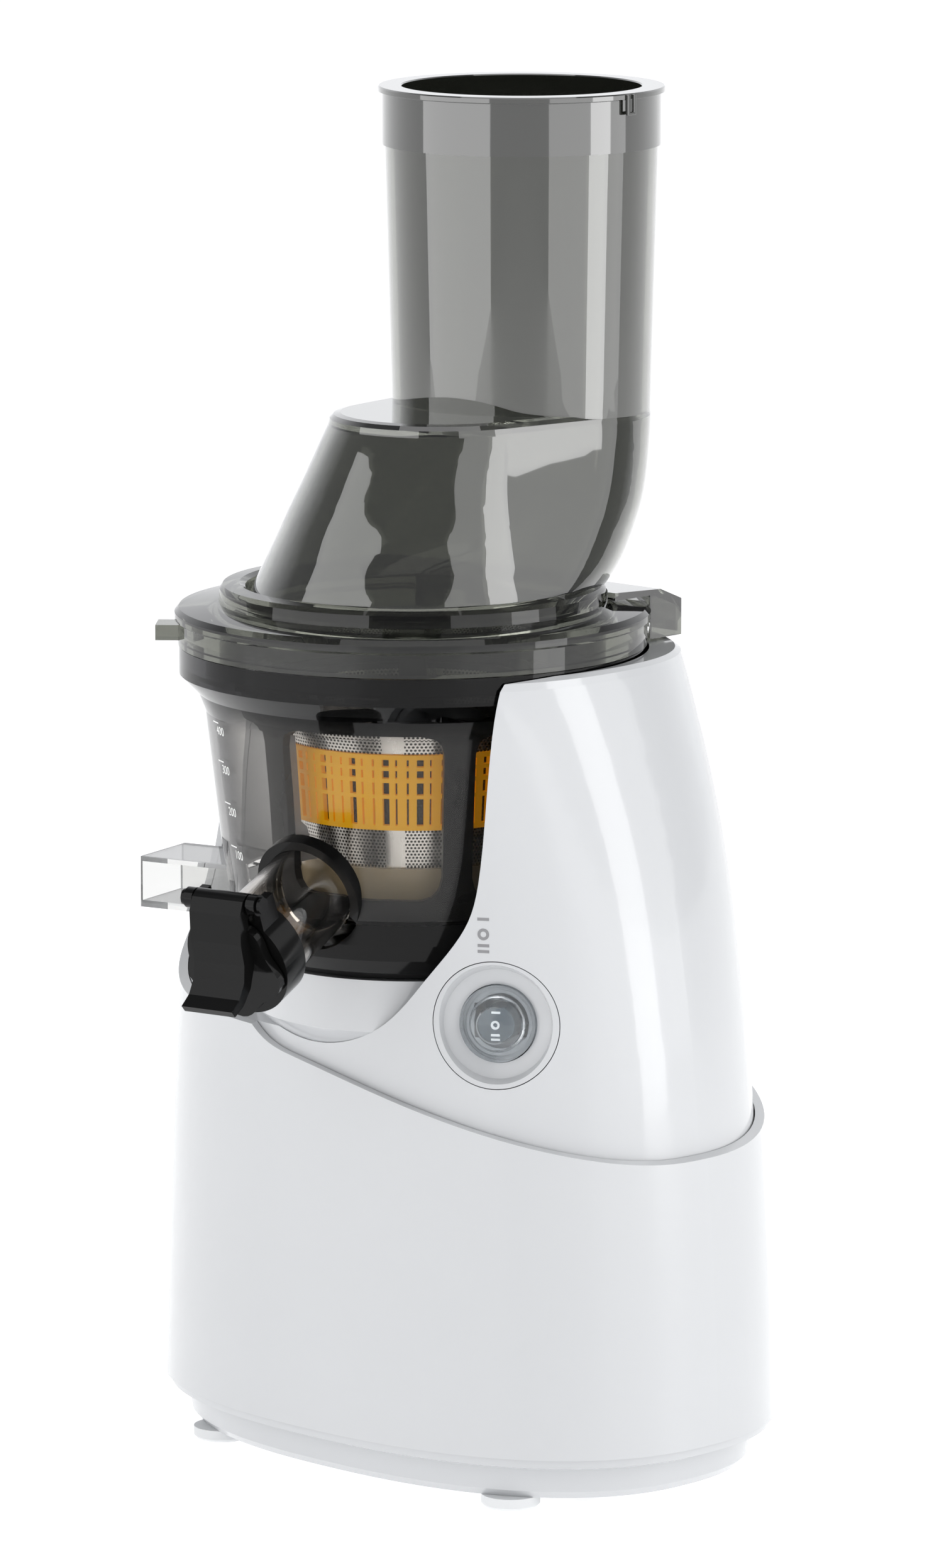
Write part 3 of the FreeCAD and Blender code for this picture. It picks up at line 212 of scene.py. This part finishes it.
def perforated(name, colour):
    """Steel sheet with staggered round holes, and plain upright strips between the fields; the holes and
    the band behind the sleeve are painted dark, as painted shade.
    """
    material = bpy.data.materials.new(name)
    nodes = Nodes(material)
    angle, height = nodes.cylinder()
    along = nodes.math("MULTIPLY", angle, MESH_RADIUS / HOLE_PITCH)
    row = nodes.math("DIVIDE", height, ROW_PITCH)
    odd = nodes.math("MODULO", nodes.math("FLOOR", row), 2.0)
    along = nodes.math("ADD", along, nodes.math("MULTIPLY", odd, 0.5))
    across = nodes.math("SUBTRACT", nodes.math("FRACT", along), 0.5)
    upward = nodes.math("SUBTRACT", nodes.math("FRACT", row), 0.5)
    across_squared = nodes.math("MULTIPLY", across, across)
    upward_squared = nodes.math("MULTIPLY", upward, upward)
    square = nodes.math("ADD", across_squared, upward_squared)
    hole = nodes.math("LESS_THAN", square, HOLE_SHARE * HOLE_SHARE)
    turn = nodes.math("FRACT", nodes.math("MULTIPLY", angle, STRIP_COUNT / math.tau))
    field = nodes.math("GREATER_THAN", turn, STRIP_SHARE)
    hole = nodes.math("MULTIPLY", hole, field)
    streaks = nodes.noise(300.0, 3.0, (1.0, 1.0, 0.1))
    steel = nodes.blend(streaks, rgba(colour, 0.9), rgba(colour, 1.1))
    # The holes are painted near black: painted shade seen through them.
    tone = nodes.blend(hole, steel, PAINTED_HOLE_SHADE)
    above = nodes.math("GREATER_THAN", height, MIDDLE_LOW)
    below = nodes.math("LESS_THAN", height, MIDDLE_HIGH)
    sleeve_shade_band = nodes.math("MULTIPLY", above, below)
    # The band that the sleeve covers is painted dark: painted shade behind the sleeve.
    tone = nodes.blend(sleeve_shade_band, tone, PAINTED_SLEEVE_SHADE)
    gloss = nodes.spread(streaks, 0.22, 0.36)
    shine = nodes.math("SUBTRACT", 1.0, hole)
    dent = nodes.bump(hole, 0.6)
    finish_shader(nodes, Base_Color=tone, Roughness=gloss, Metallic=shine, Normal=dent)
    return material


# Range of Layer Weight's Facing over which a clear wall goes from its square-on tint to its edge-on painted
# shade.
EDGE_SHADE_FACING = (0.25, 0.72)
CLEAR_GLOSS = (0.012, 0.02)
BOWL_DARKER_HEIGHTS = (0.246, 0.258)


def clear_walled(name, colour, edge_shade_colour, rough, ior=1.49):
    """Clear moulding that turns darker where its wall is seen edge on, with painted shade that partly
    stands for the longer path through the wall.
    """
    material = bpy.data.materials.new(name)
    nodes = Nodes(material)
    cloud = nodes.noise(CLOUD_SCALE)
    square = nodes.blend(cloud, rgba(colour, 0.98), rgba(colour, 1.02))
    # Edge on, the colour turns to painted shade.
    tone = nodes.blend(nodes.edge_on_shade(*EDGE_SHADE_FACING), square, rgba(edge_shade_colour))
    gloss = nodes.spread(nodes.noise(GLOSS_SCALE), rough * 0.85, rough * 1.15)
    wave = nodes.bump(nodes.noise(GLOSS_SCALE), 0.003)
    finish_shader(nodes, Base_Color=tone, Roughness=gloss, Normal=wave, Transmission_Weight=1.0, IOR=ior)
    return material


def rim_darkened(name, low_colour, edge_shade_colour, high_colour, low, high):
    """Clear moulding that turns darker between two heights, up to its thick rim, and turns to painted shade
    where its wall is seen edge on.
    """
    material = bpy.data.materials.new(name)
    nodes = Nodes(material)
    height = nodes.add("ShaderNodeSeparateXYZ", Vector=nodes.place()).outputs["Z"]
    share = nodes.add("ShaderNodeMapRange", Value=height)
    share.interpolation_type = "SMOOTHSTEP"
    share.inputs["From Min"].default_value = low
    share.inputs["From Max"].default_value = high
    # Edge on, the wall's colour turns to painted shade.
    wall = nodes.blend(nodes.edge_on_shade(*EDGE_SHADE_FACING), rgba(low_colour), rgba(edge_shade_colour))
    tone = nodes.blend(share.outputs[0], wall, rgba(high_colour))
    gloss = nodes.spread(nodes.noise(GLOSS_SCALE), *CLEAR_GLOSS)
    wave = nodes.bump(nodes.noise(GLOSS_SCALE), 0.003)
    finish_shader(nodes, Base_Color=tone, Roughness=gloss, Normal=wave, Transmission_Weight=1.0, IOR=1.3)
    return material


def wound(name, colour):
    """Enamelled copper wire laid side by side, with painted shade in the troughs between the wires."""
    material = bpy.data.materials.new(name)
    nodes = Nodes(material)
    wave = nodes.add("ShaderNodeTexWave", Vector=nodes.place(), Scale=900.0, Distortion=0.4)
    wave.bands_direction = "Z"
    # The darker bands between the wires are painted shade.
    tone = nodes.blend(wave.outputs["Fac"], rgba(colour, 0.5), rgba(colour, 1.15))
    dent = nodes.bump(wave.outputs["Fac"], 0.6)
    finish_shader(nodes, Base_Color=tone, Roughness=0.3, Metallic=0.8, Normal=dent)
    return material


def laminated(name, colour):
    """Stacked thin sheets seen from their edges."""
    material = bpy.data.materials.new(name)
    nodes = Nodes(material)
    wave = nodes.add("ShaderNodeTexWave", Vector=nodes.place(), Scale=600.0, Distortion=0.1)
    wave.bands_direction = "Z"
    tone = nodes.blend(wave.outputs["Fac"], rgba(colour, 0.55), rgba(colour, 1.1))
    dent = nodes.bump(wave.outputs["Fac"], 0.5)
    finish_shader(nodes, Base_Color=tone, Roughness=0.45, Metallic=0.9, Normal=dent)
    return material


def make_materials():
    """All finishes by slot name, with those that FINER and the printed marks use."""
    clear = {"Transmission_Weight": 1.0, "IOR": 1.49}
    return {
        "white_shell": moulded("white_shell", (0.55, 0.56, 0.575), 0.14, 1400.0, 0.01, 0.015,
                               Coat_Weight=0.6, Coat_Roughness=0.04),
        "white_trim": moulded("white_trim", (0.54, 0.55, 0.565), 0.22, 1400.0, 0.02, 0.02, Coat_Weight=0.3,
                              Coat_Roughness=0.08),
        "black_gloss": moulded("black_gloss", (0.004, 0.004, 0.004), 0.12, 900.0, 0.02, 0.2,
                               Specular_IOR_Level=0.18),
        "band_gloss": moulded("band_gloss", (0.014, 0.015, 0.012), 0.08, 900.0, 0.01, 0.1, Coat_Weight=1.0,
                              Coat_IOR=1.9, Coat_Roughness=0.04),
        "dark_matte": moulded("dark_matte", (0.006, 0.006, 0.007), 0.30, 1600.0, 0.06, 0.2,
                              Specular_IOR_Level=0.2),
        "smoke_clear": moulded("smoke_clear", (0.135, 0.14, 0.118), 0.015, 60.0, 0.003, 0.02,
                               Coat_Weight=1.0, Coat_IOR=1.75, Coat_Roughness=0.02, **clear),
        "smoke_plain": moulded("smoke_plain", (0.15, 0.155, 0.13), 0.015, 60.0, 0.003, 0.02, **clear),
        # The second colour of each clear moulding below is painted shade for its wall seen edge on.
        "bowl_clear": rim_darkened("bowl_clear", (0.70, 0.685, 0.665), (0.07, 0.07, 0.072),
                                 (0.03, 0.03, 0.033), *BOWL_DARKER_HEIGHTS),
        "duct_clear": clear_walled("duct_clear", (0.74, 0.74, 0.73), (0.20, 0.20, 0.205), 0.02),
        "spout_clear": clear_walled("spout_clear", (0.84, 0.80, 0.75), (0.30, 0.28, 0.26), 0.015),
        # The amber's emission is a painted glow, painted light: the sleeve is no lamp.
        "amber": moulded("amber", (1.0, 0.58, 0.02), 0.22, 700.0, 0.04, 0.04, Transmission_Weight=0.15,
                         IOR=1.4, Emission_Color=(1.0, 0.50, 0.0, 1.0), Emission_Strength=0.14),
        "base_clear": moulded("base_clear", (0.74, 0.62, 0.42), 0.12, 700.0, 0.02, 0.05,
                              Transmission_Weight=0.30, IOR=1.4),
        "mesh_steel": perforated("mesh_steel", (0.88, 0.86, 0.83)),
        "shaft_steel": metal("shaft_steel", (0.62, 0.62, 0.64), 0.25, (1.0, 1.0, 0.05)),
        "lamination": laminated("lamination", (0.30, 0.30, 0.32)),
        "copper": wound("copper", (0.75, 0.33, 0.14)),
        "gear_nylon": moulded("gear_nylon", (0.80, 0.77, 0.69), 0.42, 700.0, 0.10, 0.05),
        "auger_resin": moulded("auger_resin", (0.05, 0.05, 0.055), 0.22, 500.0, 0.06, 0.15),
        "silicone": moulded("silicone", (0.50, 0.51, 0.53), 0.40, 900.0, 0.05, 0.05,
                            Transmission_Weight=0.25),
        "rubber_white": moulded("rubber_white", (0.70, 0.71, 0.72), 0.45, 1200.0, 0.10, 0.05),
        "rubber_black": moulded("rubber_black", (0.02, 0.02, 0.02), 0.60, 1200.0, 0.20, 0.2),
        "boot_clear": moulded("boot_clear", (0.90, 0.93, 0.95), 0.05, 900.0, 0.03, 0.03,
                              Transmission_Weight=0.94, IOR=1.3),
        "switch_grey": moulded("switch_grey", (0.025, 0.045, 0.06), 0.30, 1200.0, 0.06, 0.08),
        "board_green": moulded("board_green", (0.03, 0.18, 0.07), 0.35, 500.0, 0.10, 0.25),
        "zinc": metal("zinc", (0.60, 0.61, 0.63), 0.42, bump=0.3),
        "print_grey": moulded("print_grey", (0.24, 0.24, 0.25), 0.35, 900.0, 0.02, 0.05),
        "print_white": moulded("print_white", (0.85, 0.85, 0.84), 0.35, 900.0, 0.02, 0.03),
    }


# Nodes that take a finish of their own within their slot.
FINER = {"chute_band": "band_gloss", "strainer_base": "base_clear", "switch_body": "white_trim",
         "lid": "smoke_plain", "juice_spout": "spout_clear"}


def paint_frame(materials):
    """Every CAD node takes the procedural material of its slot in the record."""
    for part in frame["record"]["subparts"]:
        node = NODES[part["node"]]
        node.data.materials.clear()
        node.data.materials.append(materials[FINER.get(part["node"], part["material_slot"])])


# ---- pieces -------------------------------------------------------------------------------------
def as_piece(name, mesh, material, body):
    """Makes an object of a mesh and lets it ride on a body."""
    mesh.name = name
    piece = bpy.data.objects.new(name, mesh)
    bpy.context.scene.collection.objects.link(piece)
    piece.data.materials.clear()
    piece.data.materials.append(material)
    for polygon in piece.data.polygons:
        polygon.use_smooth = False
    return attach(piece, body)


SPLIT_ROUNDS = 4


def refine(mesh, longest):
    """Splits long edges, so that a flat mark can bend with the surface it is printed on."""
    work = bmesh.new()
    work.from_mesh(mesh)
    bmesh.ops.triangulate(work, faces=work.faces)
    for _ in range(SPLIT_ROUNDS):
        long_edges = [e for e in work.edges if e.calc_length() > longest]
        if not long_edges:
            break
        bmesh.ops.subdivide_edges(work, edges=long_edges, cuts=1)
        bmesh.ops.triangulate(work, faces=[f for f in work.faces if len(f.verts) > 3])
    work.to_mesh(mesh)
    work.free()


PRINT_LIFT = 0.04
PRINT_DEPTH = 0.08
PRINT_EDGE = 0.8


def print_on(name, mesh, node, ray, material, body):
    """Lays a flat mesh (across, up) on a CAD node along rays, as a thin raised print."""
    refine(mesh, PRINT_EDGE)
    target = BVHTree.FromPolygons([v.co for v in NODES[node].data.vertices],
                                  [p.vertices for p in NODES[node].data.polygons])
    for vertex in mesh.vertices:
        start, direction = ray(vertex.co.x, vertex.co.y)
        hit, _, _, _ = target.ray_cast(start * MM, direction)
        vertex.co = hit - direction * PRINT_LIFT * MM
    piece = as_piece(name, mesh, material, body)
    thick = piece.modifiers.new("thickness", "SOLIDIFY")
    thick.thickness = PRINT_DEPTH * MM
    thick.offset = 0.0
    return piece


def flat_mesh(outlines):
    """Mesh of flat convex outlines, each a list of (across, up)."""
    mesh = bpy.data.meshes.new("flat")
    points = []
    faces = []
    for outline in outlines:
        faces.append([len(points) + i for i in range(len(outline))])
        points += [(x, y, 0.0) for x, y in outline]
    mesh.from_pydata(points, [], faces)
    return mesh


def bar(x0, x1, y0, y1):
    """Outline of a rectangle."""
    return [(x0, y0), (x1, y0), (x1, y1), (x0, y1)]


def ring_outlines(outer, inner, steps=28):
    """Outlines of the short segments that make up a flat ring."""
    outlines = []
    for i in range(steps):
        a, b = (math.tau * k / steps for k in (i, i + 1))
        outlines.append([(r * math.cos(t), r * math.sin(t))
                         for r, t in ((inner, a), (outer, a), (outer, b), (inner, b))])
    return outlines


def numerals(text, height):
    """Flat mesh of a number in the built-in font."""
    curve = bpy.data.curves.new("numerals", "FONT")
    curve.body = text
    curve.size = height
    curve.align_x = "CENTER"
    curve.align_y = "CENTER"
    holder = bpy.data.objects.new("numerals", curve)
    mesh = bpy.data.meshes.new_from_object(holder)
    bpy.data.objects.remove(holder)
    return mesh


RAY_START = 100.0
SWITCH_RAY_START = 60.0


def bowl_ray(angle_deg, height, radius):
    """Rays from outside towards the bowl's axis, round a point given by angle and height."""
    def ray(across, up):
        angle = math.radians(angle_deg) + across / radius
        outward = Vector((math.cos(angle), math.sin(angle), 0.0))
        return Vector((0.0, BOWL_Y, height + up)) + outward * RAY_START, -outward
    return ray


def switch_ray(x0, y0):
    """Rays along the switch's axis, round a point given across and up from its middle."""
    up_axis = SWITCH_AXIS.cross(SWITCH_SIDE)

    def ray(across, up):
        point = SWITCH_AT + SWITCH_SIDE * (x0 + across) + up_axis * (y0 + up)
        return point + SWITCH_AXIS * SWITCH_RAY_START, -SWITCH_AXIS
    return ray


# Volume marks on the bowl: number, height, angle round the bowl's axis.
SCALE_MARKS = [
    ("400", 248.7, -117.6),
    ("300", 236.0, -116.8),
    ("200", 222.5, -115.4),
    ("100", 208.4, -114.3),
]
TICK = (5.0, 0.4)
NUMERAL_SIZE = 4.0
NUMERAL_DROP = 2.6
NUMERAL_TURN = 3.0
BOWL_R = 64.0


def make_scale(materials):
    """Volume marks printed on the left of the bowl."""
    for text, height, angle in SCALE_MARKS:
        width, thick = TICK
        tick = flat_mesh([bar(-width / 2, width / 2, -thick / 2, thick / 2)])
        print_on("scale_tick_" + text, tick, "bowl", bowl_ray(angle, height, BOWL_R),
                 materials["print_white"], "bowl")
        mark = numerals(text, NUMERAL_SIZE)
        spot = bowl_ray(angle + NUMERAL_TURN, height - NUMERAL_DROP, BOWL_R)
        print_on("scale_number_" + text, mark, "bowl", spot, materials["print_white"], "bowl")


SYMBOLS = ("one", "off", "two")
SYMBOL_X = -3.5
SYMBOL_HEIGHTS = (34.3, 29.4, 24.8)
SYMBOL_HALF = 1.9
SYMBOL_THICK = 0.95
SYMBOL_GAP = 0.95
ROCKER_SYMBOL_HEIGHTS = (3.9, 0.0, -3.9)
ROCKER_SYMBOL_SCALE = 0.75


def symbol_outlines(kind, scale=1.0):
    """Outlines of one stroke, two strokes or a ring."""
    half, thick = SYMBOL_HALF * scale, SYMBOL_THICK / 2 * scale
    if kind == "one":
        return [bar(-half, half, -thick, thick)]
    if kind == "two":
        return [bar(-half, half, y - thick, y + thick) for y in (-SYMBOL_GAP * scale, SYMBOL_GAP * scale)]
    return ring_outlines(half, half - SYMBOL_THICK * scale)


def make_switch_marks(materials):
    """The I, O and II symbols, printed above the switch and on its rocker."""
    for kind, height in zip(SYMBOLS, SYMBOL_HEIGHTS):
        print_on("switch_mark_" + kind, flat_mesh(symbol_outlines(kind)), "tower_housing",
                 switch_ray(SYMBOL_X, height), materials["print_grey"], "base")
    for kind, height in zip(SYMBOLS, ROCKER_SYMBOL_HEIGHTS):
        mark = flat_mesh(symbol_outlines(kind, ROCKER_SYMBOL_SCALE))
        print_on("rocker_mark_" + kind, mark, "rocker_button",
                 switch_ray(0.0, height), materials["print_white"], "rocker")


CLIP_ANGLE, CLIP_RADIUS, CLIP_LOW, CLIP_TALL = 1.0, 46.9, 441.0, 6.8
CLIP_WIDE, CLIP_ARM, CLIP_THICK, CLIP_EDGE = 4.0, 1.1, 1.0, 0.25


def make_rim_clip(materials):
    """Small open clip on the outside of the chute's mouth band, arms up."""
    half, inner = CLIP_WIDE / 2, CLIP_WIDE / 2 - CLIP_ARM
    outline = [(-half, 0.0), (half, 0.0), (half, CLIP_TALL), (inner, CLIP_TALL), (inner, CLIP_ARM),
               (-inner, CLIP_ARM), (-inner, CLIP_TALL), (-half, CLIP_TALL)]
    mesh = flat_mesh([outline])
    angle = math.radians(CLIP_ANGLE)
    outward = Vector((math.cos(angle), math.sin(angle), 0.0))
    tangent = Vector((-math.sin(angle), math.cos(angle), 0.0))
    foot = Vector((0.0, CHUTE_Y, CLIP_LOW)) + outward * CLIP_RADIUS
    for vertex in mesh.vertices:
        vertex.co = (foot + tangent * vertex.co.x + Vector((0.0, 0.0, vertex.co.y))) * MM
    clip = as_piece("chute_rim_clip", mesh, materials["band_gloss"], "lid")
    thick = clip.modifiers.new("thickness", "SOLIDIFY")
    thick.thickness = CLIP_THICK * MM
    thick.offset = 0.0
    soft = clip.modifiers.new("edges", "BEVEL")
    soft.width = CLIP_EDGE * MM
    soft.segments = 2


def around(radius, angle_deg, height):
    """Point round the bowl's axis, in metres."""
    angle = math.radians(angle_deg)
    return Vector((radius * math.cos(angle), BOWL_Y + radius * math.sin(angle), height)) * MM


# The strainer's amber sleeve: radii and heights of its foot and top, its wall, and its pattern. A group
# of columns repeats round it; the open columns and rows are holes.
BAND_R0, BAND_R1, BAND_Z0, BAND_Z1, BAND_THICK = 41.2, 43.2, 216.8, 241.5, 1.9
BAND_FIT = 0.98
BAND_GROUPS = 24
GROUP_DEG = 360.0 / BAND_GROUPS
COLUMN_DEG = (0.0, 3.0, 5.6, 6.5, 10.6, 11.5)
OPEN_COLUMNS = (0, 2, 4)
BAND_ROWS = (0.0, 1.6, 10.4, 11.6, 15.6, 17.0, 19.6, 20.8, 23.2, 24.7)
OPEN_ROWS = (1, 3, 5, 7)


def make_band(materials):
    """The strainer's sleeve: wide windows and fine slits in four tiers, cut through its wall."""
    angles = [GROUP_DEG * group + column for group in range(BAND_GROUPS) for column in COLUMN_DEG]
    work = bmesh.new()
    rows = []
    for height in BAND_ROWS:
        share = height / (BAND_Z1 - BAND_Z0)
        radius = BAND_R0 + (BAND_R1 - BAND_R0) * share - BAND_THICK / 2
        rows.append([work.verts.new(around(radius, angle, BAND_Z0 + height)) for angle in angles])
    for row, (low, high) in enumerate(zip(rows, rows[1:])):
        for column in range(len(angles)):
            if row in OPEN_ROWS and column % len(COLUMN_DEG) in OPEN_COLUMNS:
                continue
            after = (column + 1) % len(angles)
            work.faces.new((low[column], low[after], high[after], high[column]))
    mesh = bpy.data.meshes.new("strainer_sleeve")
    work.to_mesh(mesh)
    work.free()
    sleeve = as_piece("strainer_sleeve", mesh, materials["amber"], "bowl")
    thick = sleeve.modifiers.new("thickness", "SOLIDIFY")
    thick.thickness = BAND_THICK * MM * BAND_FIT
    thick.offset = 0.0
    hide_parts("strainer_band")


# ---- studio -------------------------------------------------------------------------------------
WORLD_LIGHT, WORLD_SEEN = 0.26, 1.05
BACKDROP_EDGE = (0.35, 0.75)
FLOOR_REACH = 6.0
FLOOR_STEPS = 48


def make_studio():
    """White world that lights softly but is seen bright, and a pale floor."""
    bpy.context.scene.view_settings.view_transform = "Standard"
    world = bpy.data.worlds.new("studio")
    bpy.context.scene.world = world
    nodes = Nodes(world)
    path = nodes.add("ShaderNodeLightPath").outputs
    direction = nodes.add("ShaderNodeTexCoord").outputs["Generated"]
    behind = nodes.add("ShaderNodeVectorMath")
    behind.operation = "DOT_PRODUCT"
    nodes.tree.links.new(direction, behind.inputs[0])
    behind.inputs[1].default_value = tuple(-Vector((CAMERA_AT.x, CAMERA_AT.y, 0.0)).normalized())
    backdrop = nodes.add("ShaderNodeMapRange", Value=behind.outputs["Value"])
    backdrop.inputs["From Min"].default_value, backdrop.inputs["From Max"].default_value = BACKDROP_EDGE
    seen = nodes.math("MAXIMUM", path["Is Camera Ray"], path["Is Transmission Ray"])
    seen = nodes.math("MAXIMUM", seen, backdrop.outputs[0])
    strength = nodes.math("ADD", WORLD_LIGHT, nodes.math("MULTIPLY", seen, WORLD_SEEN - WORLD_LIGHT))
    background = nodes.add("ShaderNodeBackground", Color=(0.97, 0.98, 1.0, 1.0), Strength=strength)
    output = nodes.add("ShaderNodeOutputWorld")
    nodes.tree.links.new(background.outputs[0], output.inputs["Surface"])
    floor_mesh = bpy.data.meshes.new("floor")
    turns = [math.tau * i / FLOOR_STEPS for i in range(FLOOR_STEPS)]
    rim = [(FLOOR_REACH * math.cos(turn), FLOOR_REACH * math.sin(turn), 0.0) for turn in turns]
    floor_mesh.from_pydata(rim, [], [list(range(FLOOR_STEPS))])
    floor = bpy.data.objects.new("floor", floor_mesh)
    bpy.context.scene.collection.objects.link(floor)
    floor_mesh.materials.append(moulded("floor_paint", (0.86, 0.86, 0.86), 0.5, 200.0, 0.01, 0.005,
                                        Emission_Color=(1.0, 1.0, 1.0, 1.0), Emission_Strength=0.60))


# Softboxes: degrees round from the camera (right positive), height, distance, width, tall, watts.
SOFTBOXES = [
    ("left_box", -58.0, 0.70, 1.7, 2.3, 1.9, 21.0),
    ("right_box", 58.0, 0.70, 1.7, 2.6, 1.9, 17.0),
    ("right_strip", 69.0, 0.60, 1.4, 0.50, 1.9, 7.0),
    ("top_box", 0.0, 2.2, 0.1, 1.6, 1.6, 9.0),
]


LIGHT_TARGET = Vector((0.0, 0.0, 0.22))


def make_lights():
    """Softboxes placed round the camera's direction, all aimed at the middle of the object."""
    towards = Vector((CAMERA_AT.x, CAMERA_AT.y, 0.0)).normalized()
    for name, turn, height, distance, width, tall, watts in SOFTBOXES:
        data = bpy.data.lights.new(name, "AREA")
        data.shape = "RECTANGLE"
        data.size = width
        data.size_y = tall
        data.energy = watts
        light = bpy.data.objects.new(name, data)
        light.visible_camera = False
        bpy.context.scene.collection.objects.link(light)
        outward = Matrix.Rotation(math.radians(turn), 3, "Z") @ towards
        light.location = outward * distance + Vector((0.0, 0.0, height))
        light.rotation_mode = "QUATERNION"
        light.rotation_quaternion = (LIGHT_TARGET - light.location).to_track_quat("-Z", "Y")


make_camera()
MATERIALS = make_materials()
paint_frame(MATERIALS)
make_scale(MATERIALS)
make_switch_marks(MATERIALS)
make_rim_clip(MATERIALS)
make_band(MATERIALS)
make_studio()
make_lights()
